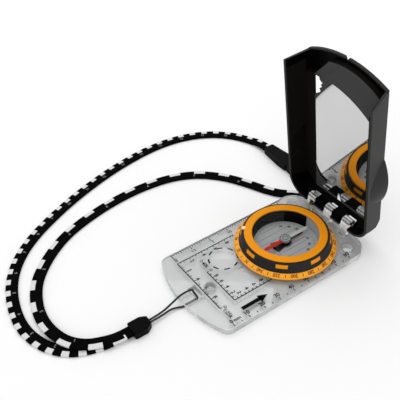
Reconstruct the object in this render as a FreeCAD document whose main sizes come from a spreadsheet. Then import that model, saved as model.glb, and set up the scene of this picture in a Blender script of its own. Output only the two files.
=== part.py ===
import FreeCAD, Part
import math
import os
import Sketcher

V = FreeCAD.Vector
doc = FreeCAD.newDocument("baseplate_compass")

# Driving dimensions, millimetres. Lengths along the plate are taken from the dial centre.
DIMENSIONS = [
    ("dial_centre", 12.895),
    ("plate_half_width", 31.5),
    ("plate_bottom", 0.4),
    ("plate_top", 3.7),
    ("plate_rear", 35.4),
    ("plate_end", 71.0),
    ("plate_end_side", 63.6),
    ("rear_corner", 10.5),
    ("front_corner", 5.0),
    ("bore_radius", 21.9),
    ("bore_step_radius", 23.6),
    ("bore_step_top", 2.0),
    ("slot_half_width", 4.7),
    ("slot_front", 63.9),
    ("slot_back", 59.3),
    ("hinge_back", 34.7),
    ("hinge_height", 11.1),
    ("open_angle", 83.3),
    ("eye_radius", 2.9),
    ("eye_pitch", 13.9),
    ("plate_eye_width", 5.8),
    ("cover_eye_width", 7.5),
    ("pin_radius", 0.9),
    ("pin_fit", 0.03),
    ("skirt_radius", 28.95),
    ("grip_radius", 26.3),
    ("top_ring_radius", 23.4),
    ("window_radius", 18.9),
    ("dial_top", 12.7),
    ("cover_rim", 4.2),
    ("cover_back", 11.0),
    ("cover_wall", 1.5),
    ("cover_half_width", 31.7),
    ("cover_back_half_width", 27.3),
    ("bulge_radius", 31.2),
    ("mirror_face", 5.7),
    ("webbing_width", 6.8),
    ("webbing_thickness", 1.5),
    ("loop_cord_radius", 0.55),
]

dims = doc.addObject("Spreadsheet::Sheet", "dims")
for row, (name, value) in enumerate(DIMENSIONS, 1):
    dims.set("A%d" % row, name)
    dims.set("B%d" % row, str(value))
    dims.setAlias("B%d" % row, name)
doc.recompute()
D = dict(DIMENSIONS)


def size(item):
    """Value of a coordinate given as a number, an alias or a negated alias."""
    if isinstance(item, str):
        return -D[item[1:]] if item.startswith("-") else D[item]
    return item


def bind(sketch, index, item):
    """Tie a sketch constraint to the spreadsheet when the coordinate is an alias."""
    if isinstance(item, str):
        sign = "-" if item.startswith("-") else ""
        sketch.setExpression("Constraints[%d]" % index, sign + "dims." + item.lstrip("-"))


def sketch_on(body, name, plane, lift=0.0):
    sketch = body.newObject("Sketcher::SketchObject", name)
    support = [item for item in body.Origin.OriginFeatures if item.Role == plane][0]
    sketch.AttachmentSupport = [(support, "")]
    sketch.MapMode = "FlatFace"
    sketch.AttachmentOffset = FreeCAD.Placement(V(0, 0, lift), FreeCAD.Rotation())
    return sketch


def outline(sketch, points):
    """Closed outline; a point is (x, y), or (x, y, mid_x, mid_y) when an arc leaves it."""
    count = len(points)
    for index, point in enumerate(points):
        after = points[(index + 1) % count]
        start = V(size(point[0]), size(point[1]), 0)
        end = V(size(after[0]), size(after[1]), 0)
        if len(point) == 4:
            middle = V(size(point[2]), size(point[3]), 0)
            edge = Part.Arc(start, middle, end)
        else:
            edge = Part.LineSegment(start, end)
        sketch.addGeometry(edge, False)
    for index, point in enumerate(points):
        if len(point) == 4 or len(points[index - 1]) == 4:
            continue
        for kind, item in (("DistanceX", point[0]), ("DistanceY", point[1])):
            place = sketch.addConstraint(
                Sketcher.Constraint(kind, -1, 1, index, 1, size(item)))
            bind(sketch, place, item)
    for index in range(count):
        before = (index - 1) % count
        straight = len(points[index]) == 2 and len(points[before]) == 2
        if straight:
            sketch.addConstraint(Sketcher.Constraint("Coincident", before, 2, index, 1))


def turned(name, profile):
    """Body turned about the vertical axis from a radius and height profile."""
    body = doc.addObject("PartDesign::Body", name + "_body")
    sketch = sketch_on(body, name + "_profile", "XZ_Plane")
    outline(sketch, profile)
    solid = body.newObject("PartDesign::Revolution", name + "_turn")
    solid.Profile = sketch
    solid.ReferenceAxis = (sketch, ["V_Axis"])
    solid.Angle = 360
    doc.recompute()
    return body


def padded(name, points, bottom, height, plane="XY_Plane"):
    """Body raised from a flat outline."""
    body = doc.addObject("PartDesign::Body", name + "_body")
    sketch = sketch_on(body, name + "_outline", plane, bottom)
    outline(sketch, points)
    solid = body.newObject("PartDesign::Pad", name + "_pad")
    solid.Profile = sketch
    solid.Length = height
    doc.recompute()
    return body


def cylinder(name, radius, bottom, height, x=0.0, y=0.0):
    item = doc.addObject("Part::Cylinder", name)
    item.Radius = radius
    item.Height = height
    item.Placement = FreeCAD.Placement(V(x, y, bottom), FreeCAD.Rotation())
    return item


def block(name, low, high):
    item = doc.addObject("Part::Box", name)
    item.Length = high[0] - low[0]
    item.Width = high[1] - low[1]
    item.Height = high[2] - low[2]
    item.Placement = FreeCAD.Placement(V(*low), FreeCAD.Rotation())
    return item


def joined(name, items):
    item = doc.addObject("Part::MultiFuse", name)
    item.Shapes = items
    return item


def cut(name, base, tool):
    item = doc.addObject("Part::Cut", name)
    item.Base = base
    item.Tool = tool
    return item


def fixed_shape(name, shape):
    item = doc.addObject("Part::Feature", name)
    item.Shape = shape
    return item


def turned_shape(points):
    """Solid turned about the vertical axis; an arc may leave a point."""
    edges = []
    for index, point in enumerate(points):
        after = points[(index + 1) % len(points)]
        start = V(point[0], 0, point[1])
        end = V(after[0], 0, after[1])
        if len(point) == 4:
            edges.append(Part.Arc(start, V(point[2], 0, point[3]), end).toShape())
        else:
            edges.append(Part.LineSegment(start, end).toShape())
    return Part.Face(Part.Wire(edges)).revolve(V(0, 0, 0), V(0, 0, 1), 360)


nodes = []


def plate_node(item, label):
    """Node that belongs to the plate frame, centred on the dial."""
    item.Label = label
    item.Placement = FreeCAD.Placement(V(0, D["dial_centre"], 0), FreeCAD.Rotation())
    item.setExpression("Placement.Base.y", "dims.dial_centre")
    nodes.append(item)
    return item


def cover_node(item, label):
    """Node that belongs to the cover: x, distance from hinge, depth."""
    item.Label = label
    tilt = FreeCAD.Rotation(V(1, 0, 0), 180 - D["open_angle"])
    place = V(0, D["dial_centre"] + D["hinge_back"], D["hinge_height"])
    item.Placement = FreeCAD.Placement(place, tilt)
    item.setExpression("Placement.Base.y", "dims.dial_centre + dims.hinge_back")
    item.setExpression("Placement.Base.z", "dims.hinge_height")
    nodes.append(item)
    return item


# ---------------------------------------------------------------- baseplate
half = D["plate_half_width"]
rear = D["plate_rear"]
corner = D["rear_corner"]
side_end = D["plate_end_side"]
turn = corner * (1 - math.cos(math.radians(45)))
front = D["front_corner"]
# the lanyard end is one wide arc, the corners into it are small arcs
end_radius = (half ** 2 + (D["plate_end"] - side_end) ** 2) / (2 * (D["plate_end"] - side_end))
end_centre = -D["plate_end"] + end_radius
small_x = half - front
small_y = end_centre - math.sqrt((end_radius - front) ** 2 - small_x ** 2)
lean = math.atan2(small_x, end_centre - small_y)
tangent_x = end_radius * math.sin(lean)
tangent_y = end_centre - end_radius * math.cos(lean)
middle = (math.pi / 2 + lean) / 2
mid_x = small_x + front * math.sin(middle)
mid_y = small_y - front * math.cos(middle)
plate_outline = [
    (half, small_y),
    (half, rear - corner, half - turn, rear - turn),
    (half - corner, rear),
    (-half + corner, rear, -half + turn, rear - turn),
    (-half, rear - corner),
    (-half, small_y, -mid_x, mid_y),
    (-tangent_x, tangent_y, 0, -D["plate_end"]),
    (tangent_x, tangent_y, mid_x, mid_y),
]
thick = D["plate_top"] - D["plate_bottom"]
plate_blank = padded("plate_blank", plate_outline, D["plate_bottom"], thick)

eye = D["eye_radius"]
hb = D["hinge_back"]
hh = D["hinge_height"]
eye_half = D["plate_eye_width"] / 2
lugs = []
for number, x in enumerate((-D["eye_pitch"], 0, D["eye_pitch"])):
    foot = doc.addObject("Part::Wedge", "lug_%d" % number)
    low_y = hb - 5.4
    foot.Xmin, foot.Xmax = low_y, hb + 0.6
    foot.X2min, foot.X2max = hb - 2.6, hb + 2.5
    foot.Ymin, foot.Ymax = D["plate_bottom"] + 1.6, hh
    foot.Zmin, foot.Zmax = 0, D["plate_eye_width"]
    foot.Z2min, foot.Z2max = 0, D["plate_eye_width"]
    stand = FreeCAD.Rotation(V(0, 1, 0), V(0, 0, 1), V(1, 0, 0), "XYZ")
    foot.Placement = FreeCAD.Placement(V(x - eye_half, 0, 0), stand)
    barrel = doc.addObject("Part::Cylinder", "barrel_%d" % number)
    barrel.Radius = eye
    barrel.Height = D["plate_eye_width"]
    barrel.Placement = FreeCAD.Placement(V(x - eye_half, hb, hh), FreeCAD.Rotation(V(0, 1, 0), 90))
    lugs += [foot, barrel]

lens = doc.addObject("Part::Sphere", "lens_cap")
lens.Radius = 42
lens_place = V(-11.4, -35.2, D["plate_top"] + 0.75 - 42)
lens.Placement = FreeCAD.Placement(lens_place, FreeCAD.Rotation())
lens_trim = cylinder("lens_trim", 7.9, 1.0, 8, -11.4, -35.2)
lens_bump = doc.addObject("Part::MultiCommon", "lens_dome")
lens_bump.Shapes = [lens, lens_trim]
doc.recompute()

plate_solid = joined("plate_solid", [plate_blank, lens_bump] + lugs)
FEET = [(1.1, -53.3, 3.7, 0.7), (-23.7, 25.5, 3.9, 1.9), (23.7, 25.5, 3.9, 1.9)]
cutters = [
    cylinder("bore", D["bore_radius"], -1, 8),
    cylinder("bore_step", D["bore_step_radius"], -1, 1 + D["bore_step_top"]),
    block("slot", (-D["slot_half_width"], -D["slot_front"], -1),
          (D["slot_half_width"], -D["slot_back"], 6)),
    block("cord_relief", (-D["slot_half_width"], -D["plate_end"] - 1, -1),
          (D["slot_half_width"], -D["slot_back"], 1.5)),
]
pin_bore = doc.addObject("Part::Cylinder", "pin_bore")
pin_bore.Radius = D["pin_radius"] + 0.005
pin_bore.Height = 40
pin_bore.Placement = FreeCAD.Placement(V(-20, hb, hh), FreeCAD.Rotation(V(0, 1, 0), 90))
cutters.append(pin_bore)
for number, (x, y, radius, rise) in enumerate(FEET):
    cutters.append(cylinder("foot_hole_%d" % number, radius - 0.8, -1, 8, x, y))
plate = cut("baseplate_cut", plate_solid, joined("plate_cutters", cutters))
plate_node(plate, "baseplate")

# ---------------------------------------------------------------- silicone feet
foot_items = []
for number, (x, y, radius, rise) in enumerate(FEET):
    stem = radius - 0.82
    top = D["plate_top"] + rise
    profile = [
        (0, 0),
        (radius - 0.6, 0),
        (radius - 0.3, D["plate_bottom"] - 0.02),
        (stem, D["plate_bottom"] - 0.02),
        (stem, D["plate_top"] + 0.02),
        (radius, D["plate_top"] + 0.02),
        (radius, D["plate_top"] + 0.3 * rise, radius * 0.75, D["plate_top"] + 0.84 * rise),
        (0.3, top),
        (0, top),
    ]
    foot = fixed_shape("foot_%d" % number, turned_shape(profile))
    foot.Placement = FreeCAD.Placement(V(x, y, 0), FreeCAD.Rotation())
    foot_items.append(foot)
feet = doc.addObject("Part::Compound", "feet_group")
feet.Links = foot_items
plate_node(feet, "silicone_feet")

# ---------------------------------------------------------------- dial
friction_ring = turned("friction_ring", [
    (22.3, 3.72), (23.5, 3.72), (23.5, 4.05), (22.3, 4.05)])
plate_node(friction_ring, "dial_friction_ring")

cup = turned("cup", [
    (0, 2.6), (19.4, 2.6), (19.4, 0.9), (20.55, 0.9), (20.55, 2.1), (21.86, 2.1),
    (21.86, 3.6), (21.4, 4.1), (20.3, 4.1), (20.3, 11.4), (19.0, 11.4), (19.0, 3.9), (0, 3.9)])
plate_node(cup, "capsule_cup")

lid = turned("lid", [(0, 11.4), (20.3, 11.4), (20.3, 12.0), (0, 12.0)])
plate_node(lid, "capsule_lid")

floor_disc = turned("floor_disc", [(0.9, 3.9), (18.95, 3.9), (18.95, 4.2), (0.9, 4.2)])
plate_node(floor_disc, "capsule_floor_disc")

# the band covers the part of the wall away from the red end
band_blank = turned("band_blank", [
    (17.9, 4.2), (18.95, 4.2), (18.95, 11.35), (18.5, 11.35), (17.9, 9.6)])
band_cutter = doc.addObject("Part::Cylinder", "band_cutter")
band_cutter.Radius = 30
band_cutter.Height = 20
band_cutter.Angle = 190
band_cutter.Placement = FreeCAD.Placement(V(0, 0, 0), FreeCAD.Rotation(V(0, 0, 1), -90))
band = cut("band_cut", band_blank, band_cutter)
plate_node(band, "clinometer_band")

retainer = turned("retainer", [(20.57, 0.9), (23.2, 0.9), (23.2, 1.7), (20.57, 1.7)])
plate_node(retainer, "dial_retaining_ring")

skirt = turned("skirt", [
    (23.6, 4.12), (28.75, 4.12), ("skirt_radius", 4.35), ("skirt_radius", 5.0), (28.6, 5.3),
    (26.5, 6.6), (21.0, 6.6), (21.0, 4.6), (21.6, 4.12)])
plate_node(skirt, "graduated_skirt")

WINDOW_HALF = 3.3
grip_blank = turned("grip_blank", [
    (23.0, 6.62), ("grip_radius", 6.62), (26.35, 7.0), (26.1, 7.6), (24.75, 11.7), (24.3, 12.2),
    (23.45, 12.2), (23.45, 11.4), (23.0, 11.4)])
windows = []
for number in range(8):
    window = block("window_%d" % number, (22.4, -WINDOW_HALF, 9.2), (30, WINDOW_HALF, 11.5))
    turned_by = FreeCAD.Rotation(V(0, 0, 1), 45 * number)
    moved = turned_by.multVec(V(22.4, -WINDOW_HALF, 9.2))
    window.Placement = FreeCAD.Placement(moved, turned_by)
    windows.append(window)
dot_angle = math.radians(-136)
dot_x = 23.8 * math.cos(dot_angle)
dot_y = 23.8 * math.sin(dot_angle)
dot_hole = cylinder("dot_hole", 1.27, 11.6, 2, dot_x, dot_y)
grip = cut("grip_cut", grip_blank, joined("grip_cutters", windows + [dot_hole]))
plate_node(grip, "grip_ring")

ring_blank = turned("ring_blank", [
    (20.35, 6.7), (22.95, 6.7), (22.95, 11.45), (23.4, 11.45), (23.4, 12.3), (23.0, "dial_top"),
    (19.6, "dial_top"), (18.9, 12.4), (18.9, 12.02), (20.35, 12.02)])
lug_blank = turned("lug_blank", [(22.9, 9.25), (25.5, 9.25), (24.82, 11.4), (22.9, 11.4)])
lug_blocks = []
for number in range(8):
    tooth = block("tooth_%d" % number, (22, -WINDOW_HALF + 0.05, 9), (30, WINDOW_HALF - 0.05, 12))
    turned_by = FreeCAD.Rotation(V(0, 0, 1), 45 * number)
    moved = turned_by.multVec(V(22, -WINDOW_HALF + 0.05, 9))
    tooth.Placement = FreeCAD.Placement(moved, turned_by)
    lug_blocks.append(tooth)
lug_ring = doc.addObject("Part::MultiCommon", "lug_ring")
lug_ring.Shapes = [lug_blank, joined("lug_blocks", lug_blocks)]
dot_space = cylinder("dot_space", 1.3, 11.4, 2, dot_x, dot_y)
top_ring = cut("top_ring_cut", joined("top_ring_joined", [ring_blank, lug_ring]), dot_space)
plate_node(top_ring, "dial_top_ring")

dot = cylinder("dot", 1.25, 11.62, 0.95, dot_x, dot_y)
plate_node(dot, "luminous_dot")
dot.Placement = FreeCAD.Placement(V(dot_x, D["dial_centre"] + dot_y, 11.62), FreeCAD.Rotation())
dot.setExpression("Placement.Base.y", "dims.dial_centre + %.6f" % dot_y)

# ---------------------------------------------------------------- needle and clinometer
pivot = turned("pivot", [
    (0, 3.92), (0.85, 3.92), (0.85, 4.4), (0.3, 4.6), (0.25, 6.9), (0.02, 7.6), (0, 7.6)])
plate_node(pivot, "pivot_pin")

hub = turned("hub", [
    (0.32, 6.3), (2.0, 6.3), (2.0, 6.98), (1.5, 7.02), (1.5, 7.45), (3.2, 7.45), (3.2, 7.8),
    (0.9, 8.1), (0, 8.1),
    (0, 7.66), (0.06, 7.66), (0.32, 6.8)])
plate_node(hub, "needle_hub")


def needle_half(name, points):
    blank = padded(name + "_blank", points, 7.0, 0.35)
    return cut(name + "_cut", blank, cylinder(name + "_hole", 1.54, 6, 3))


red = needle_half("needle_red", [
    (-1.9, -0.05), (-1.9, -2.6), (-1.15, -3.6), (-1.15, -13.6), (0, -15.6), (1.15, -13.6),
    (1.15, -3.6), (1.9, -2.6), (1.9, -0.05)])
plate_node(red, "needle_red_half")
white = needle_half("needle_white", [
    (-1.9, 0.05), (1.9, 0.05), (1.9, 1.6), (1.0, 2.6), (1.0, 15.2), (0, 16.9), (-1.0, 15.2),
    (-1.0, 2.6), (-1.9, 1.6)])
plate_node(white, "needle_white_half")

magnet_ring = turned("magnet_ring", [(2.05, 6.1), (2.7, 6.1), (2.7, 6.98), (2.05, 6.98)])
magnet_red = padded("magnet_red", [(-1.0, -8), (1.0, -8), (1.0, -2.3), (-1.0, -2.3)], 6.1, 0.88)
magnet_white = padded("magnet_white", [(-1.0, 2.3), (1.0, 2.3), (1.0, 8), (-1.0, 8)], 6.1, 0.88)
yoke = joined("magnet_joined", [magnet_ring, magnet_red, magnet_white])
plate_node(yoke, "needle_magnet")

pendulum_ring = turned("pendulum_ring", [(0.88, 4.7), (3.3, 4.7), (3.3, 5.1), (0.88, 5.1)])
pointer = padded("pointer", [(-0.5, 3.0), (0.5, 3.0), (0.35, 12.5), (0, 13.6), (-0.35, 12.5)],
                 4.7, 0.4)
weight = padded("weight", [(-2.6, -2.4), (2.6, -2.4), (3.9, -7.6, 0, -8.6), (-3.9, -7.6)],
                4.7, 0.4)
pendulum = joined("pendulum_joined", [pendulum_ring, pointer, weight])
plate_node(pendulum, "clinometer_pendulum")

# ---------------------------------------------------------------- hinge pin
pin = doc.addObject("Part::Cylinder", "pin")
pin.Radius = D["pin_radius"]
pin.Height = 33.4
pin.Label = "hinge_pin"
pin_place = V(-16.7, D["dial_centre"] + hb, hh)
pin.Placement = FreeCAD.Placement(pin_place, FreeCAD.Rotation(V(0, 1, 0), 90))
pin.setExpression("Radius", "dims.pin_radius")
nodes.append(pin)

# ---------------------------------------------------------------- mirror cover
rim = D["cover_rim"]
back = D["cover_back"]
wall = D["cover_wall"]
wide = D["cover_half_width"]
slim = D["cover_back_half_width"]


def wire_at(points, depth):
    edges = []
    for index, point in enumerate(points):
        after = points[(index + 1) % len(points)]
        start = V(point[0], point[1], depth)
        end = V(after[0], after[1], depth)
        if len(point) == 4:
            edges.append(Part.Arc(start, V(point[2], point[3], depth), end).toShape())
        else:
            edges.append(Part.LineSegment(start, end).toShape())
    return Part.Wire(edges)


def side_prism(points, start, length):
    """Prism along X from a (distance, depth) outline."""
    wire = Part.makePolygon([V(start, y, z) for y, z in points + points[:1]])
    return Part.Face(wire).extrude(V(length, 0, 0))


def flared(wide, slim, front_depth, back_depth, low, high):
    """Channel blank whose sides lean inward toward the back."""
    corners = [V(-slim, low, back_depth), V(slim, low, back_depth), V(wide, low, front_depth),
               V(-wide, low, front_depth)]
    return Part.Face(Part.makePolygon(corners + corners[:1])).extrude(V(0, high - low, 0))


def plan_prism(inset, end_side, end_mid):
    """Rounded hinge end and bowed far end, seen from the front."""
    points = [
        (-21.8 + inset * 0.4, -1.7 + inset),
        (21.8 - inset * 0.4, -1.7 + inset, 28.4 - inset * 0.75, 2.1 + inset * 0.7),
        (wide - inset, 8.7 + inset * 0.4),
        (wide - inset, end_side, 0, end_mid),
        (-wide + inset, end_side),
        (-wide + inset, 8.7 + inset * 0.4, -28.4 + inset * 0.75, 2.1 + inset * 0.7),
    ]
    return Part.Face(wire_at(points, -30)).extrude(V(0, 0, 60))


def round_bulge(radius, limit, low_depth, high_depth):
    """Round wall around the dial, kept inside the flat sides."""
    post = Part.makeCylinder(radius, high_depth - low_depth, V(0, hb, low_depth))
    return post.common(Part.makeBox(2 * limit, 200, 60, V(-limit, -50, -30)))


inner_floor = -back + wall
slope = (wide - slim) / (rim + back)
heel = side_prism([(-6, -1.5), (-1.7, -1.5), (4.6, -back - 0.01), (4.6, -back - 4),
                   (-6, -back - 4)], -40, 80)
inner_heel = side_prism([(-6, -1.5), (-0.2, -1.5), (5.6, inner_floor), (5.6, -back - 4),
                         (-6, -back - 4)], -40, 80)
side_trim = side_prism([(90.4, rim + 1), (90.4, rim), (92.6, inner_floor + 0.01),
                        (104, inner_floor + 0.01), (104, rim + 1)], -40, 80)
outer = flared(wide, slim, rim, -back, -6, 104).common(plan_prism(0, 90.7, 99.3))
outer = outer.cut(heel).cut(side_trim)
outer = outer.fuse(round_bulge(D["bulge_radius"], wide, -back, rim))
inner_wide = wide - wall
inner_slim = slim - wall + slope * wall
inner_open = inner_wide + slope * 2
inner = flared(inner_open, inner_slim, rim + 2, inner_floor, -6, 110)
inner = inner.common(plan_prism(wall, 108, 112)).cut(inner_heel)
inner = inner.fuse(round_bulge(D["bulge_radius"] - wall, inner_wide, inner_floor, rim + 2))
shell = outer.cut(inner)

# eyes of the cover on the hinge axis
cover_eye_half = D["cover_eye_width"] / 2
for side in (-1, 1):
    centre = side * D["eye_pitch"] / 2
    start = centre - cover_eye_half
    length = D["cover_eye_width"]
    barrel = Part.makeCylinder(eye, length, V(start, 0, 0), V(1, 0, 0))
    web = side_prism([(-1.7, -1.4), (1.5, -4.6), (3.0, -4.6), (3.0, 2.2), (1.8, 2.4), (-1.7, 2.0)],
                     start, length)
    shell = shell.fuse(barrel.fuse(web))

# clearances for the plate eyes, then the pin bore, open at its +X end only
for x in (-D["eye_pitch"], 0, D["eye_pitch"]):
    gap = eye_half + 0.32
    shell = shell.cut(Part.makeBox(2 * gap, 9.4, 12, V(x - gap, -6, 0)))
    shell = shell.cut(side_prism([(-6, -20), (0.45, -20), (0.45, -5.5), (1.5, -3.05), (1.5, 0),
                                  (-6, 0)], x - gap, 2 * gap))
    shell = shell.cut(Part.makeCylinder(eye + 0.3, 2 * gap, V(x - gap, 0, 0), V(1, 0, 0)))
bore = Part.makeCylinder(D["pin_radius"] + D["pin_fit"], 47.2, V(-17.2, 0, 0), V(1, 0, 0))
shell = shell.cut(bore)

# V notches for sighting, one in the lip and one above the middle eye
lip_notch = Part.Face(Part.makePolygon([V(-2.2, 101, -20), V(2.2, 101, -20), V(0, 96.2, -20),
                                        V(-2.2, 101, -20)])).extrude(V(0, 0, 30))
low_notch = Part.Face(Part.makePolygon([V(-2.4, 2, -20), V(2.4, 2, -20), V(0, 9.2, -20),
                                        V(-2.4, 2, -20)])).extrude(V(0, 0, 30))
wide_notch = Part.Face(Part.makePolygon([V(-6, 1, -20), V(6, 1, -20), V(0, 9.2, -20),
                                         V(-6, 1, -20)])).extrude(V(0, 0, 13.1))
sight_points = [(-19.4, 69.2), (-17.2, 71.2), (-14.8, 73.8), (-15.8, 75.2), (-13.4, 76.8),
                (-14.8, 78.0), (-12.8, 79.2), (-15.4, 80.8), (-15.8, 82.4), (-19.4, 82.4)]
# clear way behind the sighting hole
sight_way = Part.makeBox(12.4, 21.4, 2.4, V(-25.0, 61.0, -9.6))
sight_window = Part.makeBox(12.4, 19.0, 10, V(-25.0, 61.0, -15.0))


def sight_hole(grow):
    corners = [V(x + (grow if x > -18 else -grow), y, -20) for x, y in sight_points]
    return Part.Face(Part.makePolygon(corners + corners[:1])).extrude(V(0, 0, 30))


shell = shell.cut(lip_notch).cut(low_notch).cut(wide_notch).cut(sight_window).removeSplitter()
cover_node(fixed_shape("cover_shape", shell), "mirror_cover")

# carrier: platform inside the tray with a pocket for the mirror
face_depth = -D["mirror_face"]
carrier_wide = inner_slim + slope * (face_depth - inner_floor) - 0.1
carrier_blank = flared(carrier_wide, inner_slim - 0.1, face_depth, inner_floor, 2.0, 99)
carrier_blank = carrier_blank.fuse(round_bulge(D["bulge_radius"] - wall - 0.1, 40, inner_floor,
                                               face_depth))
carrier_plan = Part.Face(wire_at([(-20.5, 3.3), (20.5, 3.3), (24.0, 7.6), (29.5, 13.0),
                                  (29.9, 86.2, 13.4, 95.0), (-8.8, 94.6), (-18.6, 83.2),
                                  (-29.9, 80.4), (-29.5, 13.0), (-24.0, 7.6)],
                                 -20)).extrude(V(0, 0, 40))
carrier_heel = side_prism([(-6, -1.5), (0.15, -1.5), (5.95, inner_floor), (5.95, -back - 4),
                           (-6, -back - 4)], -40, 80)
carrier_blank = carrier_blank.common(carrier_plan).cut(carrier_heel)
step_plan = [V(-18.6, 83.2, -6.1), V(-14.0, 82.6, -6.1), V(1.5, 97.5, -6.1), V(-8.8, 98.0, -6.1),
             V(-18.6, 83.2, -6.1)]
carrier_step = Part.Face(Part.makePolygon(step_plan)).extrude(V(0, 0, 2))

# thin side liner of the carrier, against the walls of the cover
liner_top = rim - 0.3
liner_low = face_depth - 0.8
liner = []
for inset in (0.02, 0.75):
    top_width = inner_wide - inset + slope * (liner_top + 1 - rim)
    low_width = inner_slim - inset + slope * (liner_low - inner_floor)
    skin = flared(top_width, low_width, liner_top + 1, liner_low, -6, 110)
    skin = skin.common(plan_prism(wall + inset, 108, 112))
    bend = round_bulge(D["bulge_radius"] - wall - inset, inner_wide - inset, liner_low,
                       liner_top + 1)
    liner.append(skin.fuse(bend))
liner_plan = Part.makeBox(80, 120, liner_top - liner_low, V(-40, 9.5, liner_low))
arc_plan = Part.Face(wire_at([(-34, 2), (34, 2), (34, 82.5, 0, 96.0), (-34, 82.5)],
                             -20)).extrude(V(0, 0, 40))
liner = liner[0].cut(liner[1]).common(liner_plan).common(arc_plan)
carrier_blank = carrier_blank.fuse(liner)
MIRROR = [
    (-12.0, 11.6),
    (-8.6, 11.2),
    (-14.8, 4.9),
    (19.0, 4.9, 21.0, 6.2),
    (22.0, 9.5),
    (24.0, 19.0),
    (24.0, 70.2, 9.2, 79.2),
    (-6.5, 82.8),
    (-19.0, 66.3),
    (-19.0, 21.6, -16.9, 14.6),
]
mirror_low = face_depth - 1.0
pocket = Part.Face(wire_at(MIRROR, mirror_low)).extrude(V(0, 0, 5))
carrier = carrier_blank.cut(pocket).cut(sight_hole(0.3)).cut(low_notch).cut(wide_notch)
carrier = carrier.cut(sight_way).cut(carrier_step)
cover_node(fixed_shape("carrier_shape", carrier.removeSplitter()), "mirror_carrier")

mirror_points = Part.Face(wire_at(MIRROR, mirror_low)).makeOffset2D(-0.05)
mirror = mirror_points.extrude(V(0, 0, 0.95)).cut(low_notch)
cover_node(fixed_shape("mirror_shape", mirror), "mirror_plate")

# ---------------------------------------------------------------- lanyard


def route_wire(points):
    """Straight runs joined by tangent arcs; prints the arc radii."""
    corners = [V(*point) for point in points]
    edges = []
    radii = []
    last = corners[0]
    for before, here, after in zip(corners, corners[1:], corners[2:]):
        into = (here - before).normalize()
        out = (after - here).normalize()
        run = min((here - before).Length, (after - here).Length)
        half_turn = into.getAngle(out) / 2
        reach = 0.45 * run
        radius = reach / math.tan(half_turn)
        radii.append(round(radius, 1))
        first = here - into * reach
        second = here + out * reach
        centre_way = (out - into).normalize()
        centre = here + centre_way * (radius / math.cos(half_turn))
        middle = centre - centre_way * radius
        edges.append(Part.LineSegment(last, first).toShape())
        edges.append(Part.Arc(first, middle, second).toShape())
        last = second
    edges.append(Part.LineSegment(last, corners[-1]).toShape())
    print("arc radii", radii)
    return Part.Wire(edges)


def webbing(name, points, label):
    """Flat ribbon kept level along its route."""
    path = route_wire(points)
    start = V(*points[0])
    ahead = (V(*points[1]) - start).normalize()
    side = V(0, 0, 1).cross(ahead).normalize()
    up = V(0, 0, 1)
    a = D["webbing_width"] / 2
    b = D["webbing_thickness"] / 2
    c = 0.4
    ring = [(a, b - c), (a - c, b), (c - a, b), (-a, b - c), (-a, c - b), (c - a, -b), (a - c, -b),
            (a, c - b)]
    corners = [start + side * x + up * z for x, z in ring]
    profile = Part.makePolygon(corners + corners[:1])
    sweep = Part.BRepOffsetAPI.MakePipeShell(path)
    sweep.setBiNormalMode(V(0, 0, 1))
    sweep.add(profile, False, False)
    sweep.build()
    sweep.makeSolid()
    solid = sweep.shape()
    if solid.Volume < 0:
        solid.reverse()
    section = Part.Face(profile).Area
    print(label, "length", round(path.Length, 1), "volume ratio",
          round(solid.Volume / (section * path.Length), 4))
    plate_node(fixed_shape(name, solid), label)


OUTER_ROUTE = [
    (-0.4, -102.32, 0.8), (-0.4, -109.5, 0.8), (-1.4, -119.5, 0.8), (-6.4, -132.9, 0.8),
    (-18.8, -142.8, 0.8), (-37.0, -146.9, 0.8), (-60.2, -142.2, 0.8), (-78.6, -132.0, 0.8),
    (-93.2, -116.0, 0.8), (-104.6, -94.8, 0.8), (-112.8, -75.2, 0.8), (-119.6, -54.6, 0.8),
    (-124.4, -34.2, 0.8), (-127.2, -11.6, 0.8), (-125.6, 9.4, 0.8), (-118.6, 27.6, 0.8),
    (-106.0, 41.8, 0.8), (-92.4, 48.8, 0.8), (-84.4, 50.9, 2.2), (-77.02, 50.9, 2.2),
]
INNER_ROUTE = [
    (0.9, -102.32, 2.55), (0.9, -109.6, 2.55), (-1.3, -117.0, 2.55), (-5.0, -125.2, 2.5),
    (-12.4, -132.0, 2.45), (-22.4, -135.4, 2.4), (-34.0, -135.9, 1.3), (-46.0, -133.5, 0.8),
    (-60.4, -127.0, 0.8), (-73.6, -114.0, 0.8), (-84.2, -98.0, 0.8), (-90.6, -79.0, 0.8),
    (-94.6, -58.0, 0.8), (-95.4, -38.0, 0.8), (-92.6, -17.8, 0.8), (-85.0, -1.8, 0.8),
    (-72.0, 10.6, 0.8), (-58.0, 18.2, 0.8), (-45.4, 23.6, 0.8), (-37.4, 28.6, 0.8),
    (-32.0, 35.2, 0.8), (-26.0, 39.4, 0.8), (-19.2, 40.0, 0.8), (-15.2, 46.8, 0.8),
    (-19.2, 52.8, 0.8), (-26.6, 50.9, 2.2), (-32.98, 50.9, 2.2),
]
webbing("outer_webbing_shape", OUTER_ROUTE, "outer_webbing")
webbing("inner_webbing_shape", INNER_ROUTE, "inner_webbing")

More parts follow.
